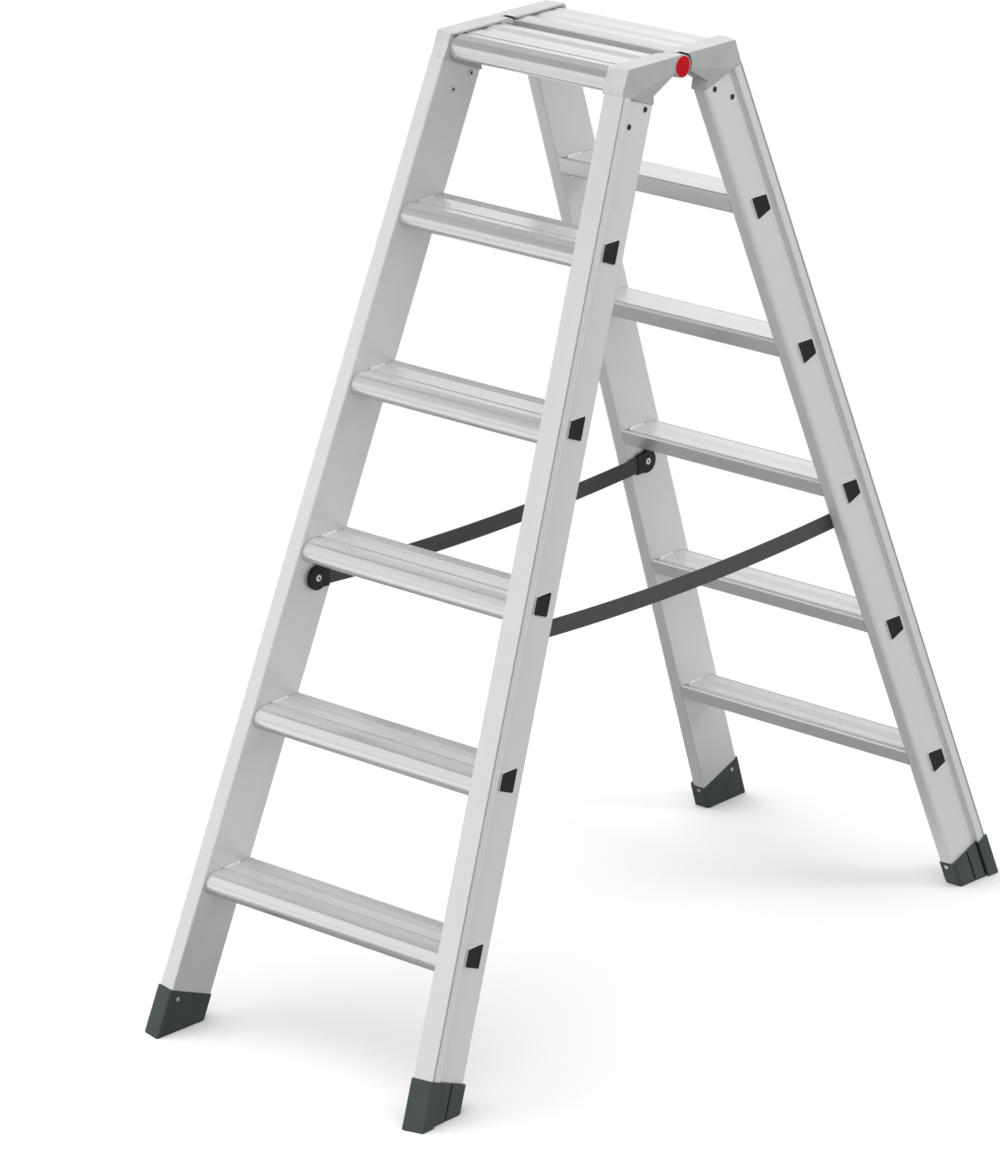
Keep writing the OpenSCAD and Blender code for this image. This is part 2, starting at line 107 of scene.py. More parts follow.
room = bpy.data.worlds.new("room")
room.use_nodes = True
room_tree = room.node_tree
room_tree.nodes.clear()
rays = node(room_tree, "ShaderNodeLightPath").outputs
front_light = ramp(room_tree, towards(room_tree, (-0.2, -0.6, 0.8)), -0.1, 1.0, 0.2, 1.75)
seen = maths(room_tree, "ADD", rays["Is Camera Ray"], rays["Is Transmission Ray"])
gloss = maths(room_tree, "MULTIPLY", rays["Is Glossy Ray"], 0.45)
seen = maths(room_tree, "ADD", seen, gloss)
soft = maths(room_tree, "MULTIPLY", rays["Is Diffuse Ray"], front_light)
backdrop = node(room_tree, "ShaderNodeBackground", Color=(1, 1, 1, 1))
room_tree.links.new(maths(room_tree, "ADD", seen, soft), backdrop.inputs["Strength"])
room_out = node(room_tree, "ShaderNodeOutputWorld")
room_tree.links.new(backdrop.outputs[0], room_out.inputs["Surface"])
bpy.context.scene.world = room


def lamp(name, place, aim, size, power):
    """A square softbox at a place, turned to a point."""
    data = bpy.data.lights.new(name, "AREA")
    data.size, data.energy = size, power
    made = bpy.data.objects.new(name, data)
    back = np.array(place, float) - aim
    back /= np.linalg.norm(back)
    side = np.cross((0, 0, 1), back)
    side /= np.linalg.norm(side)
    rise = np.cross(back, side)
    made.matrix_world = Matrix([(side[i], rise[i], back[i], place[i]) for i in range(3)] + [(0, 0, 0, 1)])
    bpy.context.scene.collection.objects.link(made)


lamp("key_light", (3.4, 2.6, 2.8), (0, 0, 0.5), 1.5, 42)

floor_reach = 40
floor_mesh = bpy.data.meshes.new("floor")
floor_corners = floor_reach * np.array([(-1, -1, 0), (1, -1, 0), (1, 1, 0), (-1, 1, 0)])
floor_mesh.from_pydata(floor_corners.tolist(), [], [(0, 1, 2, 3)])
floor = bpy.data.objects.new("floor", floor_mesh)
bpy.context.scene.collection.objects.link(floor)
floor_paint = bpy.data.materials.new("floor_paint")
floor_paint.use_nodes = True
floor_tree = floor_paint.node_tree
floor_tree.nodes.clear()
floor_rays = node(floor_tree, "ShaderNodeLightPath").outputs
floor_seen = maths(floor_tree, "ADD", floor_rays["Is Camera Ray"], floor_rays["Is Transmission Ray"])
floor_spot = node(floor_tree, "ShaderNodeTexCoord").outputs["Object"]
far = node(floor_tree, "ShaderNodeVectorMath", operation="LENGTH")
floor_tree.links.new(floor_spot, far.inputs[0])
near_paint = node(floor_tree, "ShaderNodeBsdfDiffuse", Color=(0.97, 0.97, 0.97, 1))
white = node(floor_tree, "ShaderNodeEmission", Color=(1, 1, 1, 1), Strength=1.0)
faded = node(floor_tree, "ShaderNodeMixShader")
floor_tree.links.new(ramp(floor_tree, far.outputs["Value"], 0.9, 2.2, 0.0, 1.0), faded.inputs[0])
floor_tree.links.new(near_paint.outputs[0], faded.inputs[1])
floor_tree.links.new(white.outputs[0], faded.inputs[2])
floor_place = node(floor_tree, "ShaderNodeSeparateXYZ")
floor_tree.links.new(floor_spot, floor_place.inputs[0])
# A painted shadow band that metal sees in the floor: its direction, and where its middle crosses the X axis
shadow_band_x, shadow_band_y, shadow_band_centre = 0.735, 0.678, -0.645


def floor_distance(across, along):
    """Distance on the floor from a line through the painted shadow band's middle with the normal (across,
    along).
    """
    shifted = maths(floor_tree, "ADD", floor_place.outputs["X"], -shadow_band_centre)
    total = maths(floor_tree, "ADD", maths(floor_tree, "MULTIPLY", shifted, across),
                  maths(floor_tree, "MULTIPLY", floor_place.outputs["Y"], along))
    return maths(floor_tree, "ABSOLUTE", total, 0.0)


# What glossy rays see on the floor is a glow, a painted reflection: grey in a painted shadow band beside the
# object and near its front, brighter elsewhere.
beside = ramp(floor_tree, floor_distance(shadow_band_y, -shadow_band_x), 0.28, 0.55, 0.0, 1.0)
beyond_ends = ramp(floor_tree, floor_distance(shadow_band_x, shadow_band_y), 0.75, 1.05, 0.0, 1.0)
under_front = node(floor_tree, "ShaderNodeVectorMath", operation="DISTANCE")
floor_tree.links.new(floor_spot, under_front.inputs[0])
under_front.inputs[1].default_value = (-0.15, -0.6, 0)
open_floor = maths(floor_tree, "MULTIPLY", maths(floor_tree, "MAXIMUM", beside, beyond_ends),
                   ramp(floor_tree, under_front.outputs["Value"], 0.15, 0.6, 0.0, 0.85))
right_floor = ramp(floor_tree, floor_place.outputs["X"], 0.0, 1.0, 0.36, 0.2)
mirrored_floor = maths(floor_tree, "MULTIPLY", floor_rays["Is Glossy Ray"],
                       maths(floor_tree, "ADD", open_floor, right_floor))
# Diffuse rays see a faint even glow from the floor: painted bounce light from below.
soft_floor = maths(floor_tree, "MULTIPLY", floor_rays["Is Diffuse Ray"], 0.2)
painted_floor_glow = node(floor_tree, "ShaderNodeEmission", Color=(1, 1, 1, 1))
floor_tree.links.new(maths(floor_tree, "ADD", mirrored_floor, soft_floor), painted_floor_glow.inputs["Strength"])
chosen = node(floor_tree, "ShaderNodeMixShader")
floor_tree.links.new(floor_seen, chosen.inputs[0])
floor_tree.links.new(painted_floor_glow.outputs[0], chosen.inputs[1])
floor_tree.links.new(faded.outputs[0], chosen.inputs[2])
floor_out = node(floor_tree, "ShaderNodeOutputMaterial")
floor_tree.links.new(chosen.outputs[0], floor_out.inputs["Surface"])
floor_mesh.materials.append(floor_paint)

# The glowing ring: only glossy reflections see it, so its glow is a painted reflection, graded to suit this
# camera
wall_reach, wall_high, wall_columns = 2.2, 4.0, 96
around = np.linspace(0, 2 * np.pi, wall_columns, endpoint=False)
wall_ring = np.stack([wall_reach * np.cos(around), wall_reach * np.sin(around)], -1)
wall_points = np.concatenate(
    [np.pad(wall_ring, ((0, 0), (0, 1)), constant_values=z) for z in (0.0, wall_high)])
wall_mesh = bpy.data.meshes.new("reflection_glow_ring")
column = np.arange(wall_columns)
next_column = (column + 1) % wall_columns
wall_mesh.from_pydata(wall_points.tolist(), [], np.stack(
    [column, column + wall_columns, next_column + wall_columns, next_column], -1).tolist())
wall = bpy.data.objects.new("reflection_glow_ring", wall_mesh)
bpy.context.scene.collection.objects.link(wall)
wall.visible_camera = wall.visible_diffuse = wall.visible_shadow = wall.visible_transmission = False
wall_glow = bpy.data.materials.new("painted_reflection_glow")
wall_glow.use_nodes = True
wall_tree = wall_glow.node_tree
wall_tree.nodes.clear()
place_of = node(wall_tree, "ShaderNodeSeparateXYZ")
wall_tree.links.new(node(wall_tree, "ShaderNodeTexCoord").outputs["Object"], place_of.inputs[0])
share_of = maths(wall_tree, "DIVIDE", place_of.outputs["Z"], wall_high)
# Height on the glowing ring and how bright its painted reflection is there, in front of the object and behind
# it
front_glow_levels = ((0.0, 0.95), (0.5, 0.95), (0.9, 1.05), (1.2, 1.08), (1.6, 1.0), (1.85, 0.92), (2.1, 0.80),
               (2.3, 0.64), (2.5, 0.43), (2.75, 0.25), (3.2, 0.22), (4.0, 0.30))
back_glow_levels = ((0.0, 0.45), (0.8, 0.45), (1.0, 0.55), (1.25, 0.75), (1.5, 0.87), (1.8, 0.97), (2.05, 1.1),
              (2.28, 1.12), (2.42, 0.75), (2.55, 0.42), (2.75, 0.32), (3.05, 0.42), (3.4, 0.52), (4.0, 0.5))
glow_by_side = node(wall_tree, "ShaderNodeMixRGB")
wall_tree.links.new(ramp(wall_tree, place_of.outputs["Y"], -0.5, 0.7, 0.0, 1.0), glow_by_side.inputs[0])
for slot, stops in ((1, front_glow_levels), (2, back_glow_levels)):
    glow = node(wall_tree, "ShaderNodeValToRGB")
    for z, level_of in stops[1:-1]:
        glow.color_ramp.elements.new(z / wall_high).color = (level_of, level_of, level_of, 1)
    for end, (z, level_of) in ((0, stops[0]), (-1, stops[-1])):
        glow.color_ramp.elements[end].color = (level_of, level_of, level_of, 1)
    wall_tree.links.new(share_of, glow.inputs[0])
    wall_tree.links.new(glow.outputs[0], glow_by_side.inputs[slot])
shine = node(wall_tree, "ShaderNodeEmission")
bright_side = node(wall_tree, "ShaderNodeMixRGB", Color2=(1.0, 1.0, 1.0, 1))
wall_tree.links.new(ramp(wall_tree, place_of.outputs["X"], 0.0, 0.9, 0.0, 1.0), bright_side.inputs[0])
wall_tree.links.new(glow_by_side.outputs[0], bright_side.inputs[1])
wall_tree.links.new(bright_side.outputs[0], shine.inputs["Color"])
wall_tree.links.new(ramp(wall_tree, place_of.outputs["Y"], 1.4, 1.85, 0.9, 1.22), shine.inputs["Strength"])
wall_out = node(wall_tree, "ShaderNodeOutputMaterial")
wall_tree.links.new(shine.outputs[0], wall_out.inputs["Surface"])
wall_mesh.materials.append(wall_glow)

# Stiles: four straight hollow extrusions of natural aluminium, leaning 21 degrees and splayed 3.5.
# Each has a slanted front, a side band with a groove behind its front edge, and a web that the
# tread chambers pass through. Lengths here and below are in millimetres.
rise_step, platform_top = 235.0, 1410.0
lean, splay = math.radians(21), math.radians(3.5)
lean_sin, lean_cos, lean_tan = math.sin(lean), math.cos(lean), math.tan(lean)
splay_sin, splay_cos, splay_tan = math.sin(splay), math.cos(splay), math.tan(splay)
top_half, head_half, head_drop = 125.1, 150.0, 31.5
half_spread = top_half + lean_tan * platform_top
inner_half = head_half + splay_tan * platform_top / lean_cos
stile_low, stile_top = 46.0, (platform_top - head_drop) / (splay_cos * lean_cos)
stile_web, stile_depth, stile_wall = 24.5, 85.8, 2.0
chamber_front, chamber_rear, chamber_top, chamber_drop = 38.5, 62.8, 2.5, 7.9
tread_wall, fit_gap = 2.0, 0.12
sections = (("front", False), ("back", True))
hands = (("left", -1), ("right", 1))


def rounded(corners, steps=6):
    """Closed outline from corners (x, y, r): an arc of radius r touches both sides of each corner."""
    c = np.array(corners, float)
    p, r = c[:, :2], c[:, 2:]
    e0 = np.roll(p, 1, 0) - p
    e1 = np.roll(p, -1, 0) - p
    e0 /= np.linalg.norm(e0, axis=1, keepdims=True)
    e1 /= np.linalg.norm(e1, axis=1, keepdims=True)
    inside = np.arccos(np.clip((e0 * e1).sum(1, keepdims=True), -1, 1))
    reach = r / np.tan(inside / 2)
    middle = e0 + e1
    size = np.linalg.norm(middle, axis=1, keepdims=True)
    centre = p + middle / np.maximum(size, 1e-9) * r / np.sin(inside / 2)
    first, last = p + reach * e0, p + reach * e1
    sweep = np.maximum(np.pi - inside, 1e-6)[:, None]
    t = np.linspace(0, 1, steps + 1)[None, :, None]
    arc = (np.sin((1 - t) * sweep) * (first - centre)[:, None]
           + np.sin(t * sweep) * (last - centre)[:, None]) / np.sin(sweep) + centre[:, None]
    arc = np.where((r < 1e-6)[:, None], p[:, None], arc).reshape(-1, 2)
    return arc[np.linalg.norm(arc - np.roll(arc, 1, 0), axis=1) > 1e-5]


def on_section(points, back):
    """Points of the front section, or the same points turned half round for the back section."""
    return points * np.array([-1, -1, 1]) if back else points


def stile_points(side, x, d, along):
    """Frame points at x outwards and d behind a stile's inner climbing line, at a length along it."""
    run = along * splay_cos + x * splay_sin
    return np.stack([side * (inner_half + x * splay_cos - along * splay_sin),
                     -half_spread + run * lean_sin + d * lean_cos, run * lean_cos - d * lean_sin], -1)


def band(rows, columns, start=0, loop=True):
    """Quads of a grid of points that are numbered row by row; loop joins the last column to the first."""
    i, j = np.meshgrid(np.arange(rows - 1), np.arange(columns - (not loop)), indexing="ij")
    here, beside = start + i * columns + j, start + i * columns + (j + 1) % columns
    return np.stack([here, beside, beside + columns, here + columns], -1)


def piece(name, points, faces, body, stands_for, finish, grain=None, crease=32, merge=False):
    """A mesh piece at its place, riding on a body: outward faces, smooth up to the crease angle."""
    mesh = bpy.data.meshes.new(name)
    mesh.from_pydata((np.asarray(points, float) / 1000).tolist(), [], faces)
    shell = bmesh.new()
    shell.from_mesh(mesh)
    if merge:
        bmesh.ops.remove_doubles(shell, verts=shell.verts, dist=2e-6)
    bmesh.ops.recalc_face_normals(shell, faces=shell.faces)
    shell.to_mesh(mesh)
    shell.free()
    if grain is not None:
        mesh.attributes.new("grain", "FLOAT_VECTOR", "POINT").data.foreach_set(
            "vector", (np.asarray(grain, float) / 1000).ravel())
    mesh.shade_smooth()
    mesh.set_sharp_from_angle(angle=math.radians(crease))
    mesh.materials.append(finish)
    made = bpy.data.objects.new(name, mesh)
    bpy.context.scene.collection.objects.link(made)
    even = made.modifiers.new("even_normals", "WEIGHTED_NORMAL")
    even.weight, even.keep_sharp = 100, True
    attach(made, body)
    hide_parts(*stands_for)
    return made


def girth(outline):
    """Distance round a closed outline at each of its points."""
    step = np.linalg.norm(np.diff(outline, axis=0), axis=1)
    return np.concatenate([[0], np.cumsum(step)])


def painted_gap_shade(tree, surface, reach, low, high, floor_of):
    """Darkens a surface's colour in narrow gaps and grooves, where little light gets in."""
    shade = node(tree, "ShaderNodeAmbientOcclusion", samples=8, Distance=reach)
    deep = node(tree, "ShaderNodeMixRGB", blend_type="MULTIPLY")
    deep.inputs[0].default_value = 1.0
    tree.links.new(surface.inputs["Base Color"].links[0].from_socket, deep.inputs[1])
    tree.links.new(ramp(tree, shade.outputs["AO"], low, high, floor_of, 1.0), deep.inputs[2])
    tree.links.new(deep.outputs[0], surface.inputs["Base Color"])


def drawn_aluminium(name, colour, metal, roughness, line_depth):
    """Extruded aluminium: fine die lines along the length, cloudy oxide and a satin sheen."""
    made = bpy.data.materials.new(name)
    made.use_nodes = True
    tree = made.node_tree
    surface = tree.nodes["Principled BSDF"]
    surface.inputs["Metallic"].default_value = metal
    along = node(tree, "ShaderNodeAttribute", attribute_name="grain")
    stretched = node(tree, "ShaderNodeMapping", Scale=(420, 1.5, 1))
    tree.links.new(along.outputs["Vector"], stretched.inputs["Vector"])
    lines = node(tree, "ShaderNodeTexNoise", Scale=1.0, Detail=2.0, Roughness=0.5)
    tree.links.new(stretched.outputs[0], lines.inputs["Vector"])
    clouds = node(tree, "ShaderNodeTexNoise", Scale=14.0, Detail=3.0)
    tree.links.new(node(tree, "ShaderNodeTexCoord").outputs["Object"], clouds.inputs["Vector"])
    both = maths(tree, "ADD", maths(tree, "MULTIPLY", lines.outputs[0], 0.6),
                 maths(tree, "MULTIPLY", clouds.outputs[0], 0.4))
    shade = node(tree, "ShaderNodeMixRGB")
    tree.links.new(ramp(tree, both, 0.3, 0.7, 0.0, 1.0), shade.inputs[0])
    shade.inputs[1].default_value = (*[c * 0.985 for c in colour], 1)
    shade.inputs[2].default_value = (*[c * 1.015 for c in colour], 1)
    tree.links.new(shade.outputs[0], surface.inputs["Base Color"])
    tree.links.new(ramp(tree, both, 0.3, 0.7, roughness - 0.02, roughness + 0.02),
                   surface.inputs["Roughness"])
    relief = node(tree, "ShaderNodeBump", Strength=line_depth, Distance=0.0002)
    tree.links.new(lines.outputs[0], relief.inputs["Height"])
    tree.links.new(relief.outputs[0], surface.inputs["Normal"])
    return made


stile_finish = drawn_aluminium("stile_aluminium", (0.70, 0.702, 0.705), 0.3, 0.42, 0.02)
# Painted shade: the stiles' colour is darkened in their grooves and narrow gaps, where little light gets in.
painted_gap_shade(stile_finish.node_tree, stile_finish.node_tree.nodes["Principled BSDF"], 0.0035, 0.3, 0.75, 0.4)
opening_front = chamber_front - tread_wall - fit_gap
opening_rear = chamber_rear + tread_wall + fit_gap
inside_web, inside_rear = stile_web - stile_wall, stile_depth - stile_wall
stile_outside = rounded([
    (0, 0, 2.4), (30.5, 7, 1.0), (30.5, 8.5, 0.3), (28.9, 8.9, 0.2), (28.9, 11.2, 0.2), (30.5, 11.7, 0.3),
    (30.5, 20.8, 0.4), (31.3, 21.8, 0.5), (31.3, 23.6, 0.6), (30.3, 25, 0.8), (stile_web, 25, 1.4),
    (stile_web, opening_front, 0), (stile_web, opening_rear, 0), (stile_web, stile_depth, 6),
    (0, stile_depth, 2.4), (0, opening_rear, 0), (0, opening_front, 0)])
stile_inside = rounded([
    (stile_wall, 2.51, 0.6), (28.5, 8.59, 0.6), (28.5, 23, 0.6), (inside_web, 23, 0.6),
    (inside_web, opening_front, 0), (inside_web, opening_rear, 0), (inside_web, inside_rear, 4),
    (stile_wall, inside_rear, 0.6), (stile_wall, opening_rear, 0), (stile_wall, opening_front, 0)])


def at(outline, x, y):
    """Number of the outline's point nearest to x, y."""
    return int(np.argmin(np.hypot(outline[:, 0] - x, outline[:, 1] - y)))


def stile(side):
    """Two outlines carried along the stile, joined at its ends and round the tread chambers' openings."""
    levels = np.arange(1, 6) * rise_step
    lower = (levels - chamber_drop - tread_wall - fit_gap) / lean_cos
    upper = (levels - chamber_top + tread_wall + fit_gap) / lean_cos
    start = np.concatenate(
        [[stile_low * splay_cos], np.stack([lower, upper], 1).ravel(), [stile_top * splay_cos]])
    slope = np.array([0] + [0, lean_tan] * 5 + [0])[:, None]
    squared = np.array([0] + [1, 1] * 5 + [0])[:, None]
    sets, grains, faces, numbers, first = [], [], [], [], 0
    for outline in (stile_outside, stile_inside):
        x, d = outline.T
        along = (start[:, None] + slope * d - squared * x * splay_sin) / splay_cos
        sets.append(stile_points(side, np.broadcast_to(x, along.shape), np.broadcast_to(d, along.shape),
                                 along).reshape(-1, 3))
        round_it = np.broadcast_to(girth(outline), along.shape)
        grains.append(np.stack([round_it, along, 0 * along], -1).reshape(-1, 3))
        grid = band(len(start), len(x), first)
        web_x, wall_x = (stile_web, 0) if outline is stile_outside else (inside_web, stile_wall)
        web, wall = at(outline, web_x, opening_front), at(outline, wall_x, opening_rear)
        keep = np.ones(grid.shape[:2], bool)
        keep[1:-1:2, [web, wall]] = False
        faces += grid[keep].tolist()
        numbers.append((first, len(x), web, wall))
        first += along.size
    (f0, n0, web0, wall0), (f1, n1, web1, wall1) = numbers
    rows = np.arange(1, 11, 2)
    for a, b in ((web0, web1), (wall0, wall1)):
        low_out, low_in = f0 + rows * n0 + a, f1 + rows * n1 + b
        for out_a, out_b, in_a, in_b in (
                (low_out, low_out + 1, low_in, low_in + 1),
                (low_out + n0, low_out + n0 + 1, low_in + n1, low_in + n1 + 1),
                (low_out, low_out + n0, low_in, low_in + n1),
                (low_out + 1, low_out + n0 + 1, low_in + 1, low_in + n1 + 1)):
            faces += np.stack([out_a, out_b, in_b, in_a], -1).tolist()
    for row in (0, len(start) - 1):
        loops = [stile_outside, stile_inside]
        flat = [[(x, y, 0) for x, y in loop] for loop in loops]
        number = np.concatenate([f0 + row * n0 + np.arange(n0), f1 + row * n1 + np.arange(n1)])
        faces += [[int(number[k]) for k in corner] for corner in tessellate_polygon(flat)]
    return np.concatenate(sets), faces, np.concatenate(grains)


for section, back in sections:
    for hand, side in hands:
        points, faces, grain = stile(-side if back else side)
        piece(f"stile_{section}_{hand}_tube", on_section(points, back), faces, f"{section}_section",
              [f"stile_{section}_{hand}"], stile_finish, grain)

# Treads: five hollow aluminium extrusions in each section, with a rounded nose and a grooved top.
# A square chamber under each top passes through both stiles, and its ends are flared outside them.
nose_depth, nose_height, rear_height = 14.5, 35.2, 21.5
rear_reach = stile_depth / lean_cos - 0.4
nose_drop = 1.3
rib_room = 0.3
room_front, room_rear = chamber_front - tread_wall - rib_room, chamber_rear + tread_wall + rib_room
room_top = -tread_wall - 1.4


def at_depth(d, v):
    """Place in a tread's outline of a stile depth d at height v: distance behind the climbing line, and v."""
    return d / lean_cos + lean_tan * v, v


def chamber(grow):
    """Outline of the through chamber, grown on all four sides, with small corner radii."""
    a, b = chamber_front - grow, chamber_rear + grow
    top, drop = grow - chamber_top, chamber_drop + grow
    corners = [at_depth(a, top), at_depth(b, top),
               at_depth(b, -drop - b * lean_sin), at_depth(a, -drop - a * lean_sin)]
    return rounded([(*c, max(0.9 + 0.6 * grow, 0.25)) for c in corners], 5)


def nose(shrink, steps=48, bluntness=1.0):
    """Half ellipse from the underside of the nose towards its top, flattened to a slanted face above
    the middle; below the middle the powers of its sine and cosine give the bluntness."""
    turn = np.linspace(1.5 * np.pi, 0.5 * np.pi, steps + 1)
    half = (nose_height - nose_drop) / 2
    power = np.where(np.sin(turn) < 0, bluntness, 1.0)
    u = nose_depth - 0.5 - (nose_depth - shrink) * np.abs(np.cos(turn)) ** power
    v = half - nose_height + (half - shrink) * np.sign(np.sin(turn)) * np.abs(np.sin(turn)) ** power
    rise_of = np.degrees(np.arctan2(np.sin(turn) * nose_depth, -np.cos(turn) * half))
    chosen = (rise_of < 20) | ((rise_of > 52) & (rise_of < 76))
    return np.stack([u, v, 0 * u], -1)[chosen].tolist()


# Corners of the top (place, height, radius): a front ridge, a groove, a flat with low ribs, a rising rear
low_ribs = [(42 + 2.0 * k, -0.15 - 0.12 * (k % 2), 0.6) for k in range(6)]
front_ridge = [(19, 0.1, 3), (33.5, -1.0, 1.5), (35, -1.2, 0.5), (36.4, -0.2, 0.4)]
smooth_top = front_ridge + low_ribs + [(56, -0.1, 4)]
tread_ridges = smooth_top + [(69, -1.1, 6), (72.5, -1.2, 0.4), (76.5, 0, 0.12), (76.65, -1.2, 0.12),
                             (80.5, 0, 0.12), (80.65, -1.2, 0.12), (87.5, 1.2, 2.0)]
platform_ridges = smooth_top + [(68, -1.2, 10), (73, -1.1, 10), (88, 0.8, 4), (104, -0.5, 6)]
tread_outside = rounded(nose(0) + tread_ridges + [
    (rear_reach - 0.6, 0.2, 0.9),
    (rear_reach - lean_tan * rear_height, -rear_height, 0.9),
    (*at_depth(room_rear, -rear_height), 0.5)] + [
    (*at_depth(d, -chamber_drop - tread_wall - rib_room - d * lean_sin), 0.8)
    for d in (room_rear, room_front)] + [
    (nose_depth + 5, -nose_height + 1, 0.8)], 4)
tread_front_room = rounded(nose(tread_wall, 18) + [
    (*at_depth(room_front, room_top), 0), (*at_depth(room_front, -20.2), 0),
    (nose_depth + 4, -nose_height + tread_wall + 1, 0)], 2)
tread_rear_room = rounded([
    (*at_depth(room_rear, room_top), 0.3), (rear_reach - tread_wall - 1.2, room_top, 0.3),
    (rear_reach - tread_wall - lean_tan * (rear_height - tread_wall), -rear_height + tread_wall, 0.3),
    (*at_depth(room_rear, -rear_height + tread_wall), 0.3)], 2)
# Growth of the chamber's outline and distance beyond the web, from the tread's end to the flared lip
flare = [(tread_wall, -stile_web - fit_gap), (tread_wall, fit_gap), (3.4, fit_gap), (3.4, 0.9), (3.25, 1.4),
         (2.9, 1.7), (2.4, 1.8), (1.3, 1.75), (0.5, 1.6), (0.12, 1.1), (0, 0.4)]


def tread_points(level, outline, beyond):
    """Frame points of a tread outline on the plane that lies beyond the right stile's inner face."""
    y = -half_spread + lean_tan * level + outline[:, 0]
    z = level + outline[:, 1]
    run = z * lean_cos + (y + half_spread) * lean_sin
    return np.stack([inner_half - run * splay_tan + beyond / splay_cos, y, z], -1)


mirrored = np.array([-1, 1, 1])


def extrusion(ends, outlines, tubes=None, tube_outlines=None):
    """Outlines carried from left to right, with capped ends; a tube's rings leave through the caps."""
    points, grain, faces, first, starts = [], [], [], 0, []
    for outline in outlines:
        right = ends(outline)
        pair = np.stack([right * mirrored, right])
        starts.append(first)
        faces += band(2, len(outline), first).reshape(-1, 4).tolist()
        points.append(pair.reshape(-1, 3))
        round_it = np.broadcast_to(girth(outline), pair.shape[:2])
        grain.append(np.stack([round_it, pair[..., 0], 0 * round_it], -1).reshape(-1, 3))
        first += 2 * len(outline)
    loops = [[(u, v, 0) for u, v in outline] for outline in outlines]
    left = [np.arange(len(o)) + s for o, s in zip(outlines, starts)]
    right = [np.arange(len(o)) + s + len(o) for o, s in zip(outlines, starts)]
    if tubes is not None:
        rows, columns = len(tubes) * 2, len(tubes[0])
        rings = np.concatenate([tubes, tubes[::-1] * mirrored])
        faces += band(rows, columns, first).reshape(-1, 4).tolist()
        points.append(rings.reshape(-1, 3))
        round_it = np.broadcast_to(girth(tube_outlines), rings.shape[:2])
        grain.append(np.stack([round_it, rings[..., 0], 0 * round_it], -1).reshape(-1, 3))
        loops.append([(u, v, 0) for u, v in tube_outlines])
        right.append(first + np.arange(columns))
        left.append(first + (rows - 1) * columns + np.arange(columns))
    cap = tessellate_polygon(loops)
    for number in (np.concatenate(left), np.concatenate(right)):
        faces += [[int(number[k]) for k in corner] for corner in cap]
    return np.concatenate(points), faces, np.concatenate(grain)


def joined(parts):
    """Several shells, each points and faces, as one list of points and one of faces."""
    first = np.cumsum([0] + [len(points) for points, _ in parts])
    faces = [[k + start for k in face] for (_, own), start in zip(parts, first) for face in own]
    return np.concatenate([points for points, _ in parts]), faces


def lofted(rings):
    """A closed shell over rings with equal numbers of points, its two ends closed by one face each."""
    rings = np.asarray(rings)
    rows, columns = rings.shape[:2]
    faces = band(rows, columns).reshape(-1, 4).tolist()
    faces += [list(range(columns)), list(range((rows - 1) * columns, rows * columns))]
    return rings.reshape(-1, 3), faces


# Growth of the chamber's outline and distance beyond the stile's inner face, round the bulged collar
collar = [(1.0, 0.0), (4.3, -0.1), (4.3, -0.8), (3.9, -1.4), (3.2, -1.7), (1.0, -1.7)]


def tread_collars(level):
    """Closed rings round the chamber, one at either end of a tread, with their grain."""
    right = np.stack([tread_points(level, chamber(grow), beyond) for grow, beyond in collar])
    count = len(chamber(0))
    across, round_it = np.arange(len(collar)) * 1.5, np.arange(count) * 2.0
    grain = np.stack(np.meshgrid(across, round_it, [0.0], indexing="ij"), -1)
    return [(*lofted(rings), grain.reshape(-1, 3)) for rings in (right, right * mirrored)]


tread_finish = drawn_aluminium("tread_aluminium", (0.72, 0.722, 0.725), 0.7, 0.25, 0.008)
for section, back in sections:
    for step in range(1, 6):
        height = step * rise_step
        tubes = np.stack([tread_points(height, chamber(g), stile_web + beyond) for g, beyond in flare])
        points, faces, grain = extrusion(lambda o: tread_points(height, o, -fit_gap),
                                         [tread_outside, tread_front_room, tread_rear_room],
                                         tubes, chamber(tread_wall))
        collars = tread_collars(height)
        grain = np.concatenate([grain] + [own for _, _, own in collars])
        points, faces = joined([(points, faces)] + [(own, sides) for own, sides, _ in collars])
        piece(f"tread_{section}_{step}_extrusion", on_section(points, back), faces, f"{section}_section",
              [f"tread_{section}_{step}"], tread_finish, grain)

# End plugs: ten in each section, black plastic, pressed into the open ends of the tread chambers.
# Each has a softly rounded, slightly dished face that stands a little proud of the flared rim.
# Growth of the chamber's outline and distance beyond the web, from the face's middle to the inner end
plug_rings = [(-4.0, 2.1), (-2.0, 2.25), (1.0, 2.4), (2.1, 2.38), (2.55, 2.25), (2.65, 1.95), (1.0, 1.88),
              (-0.2, 1.5), (-0.2, -7.8)]


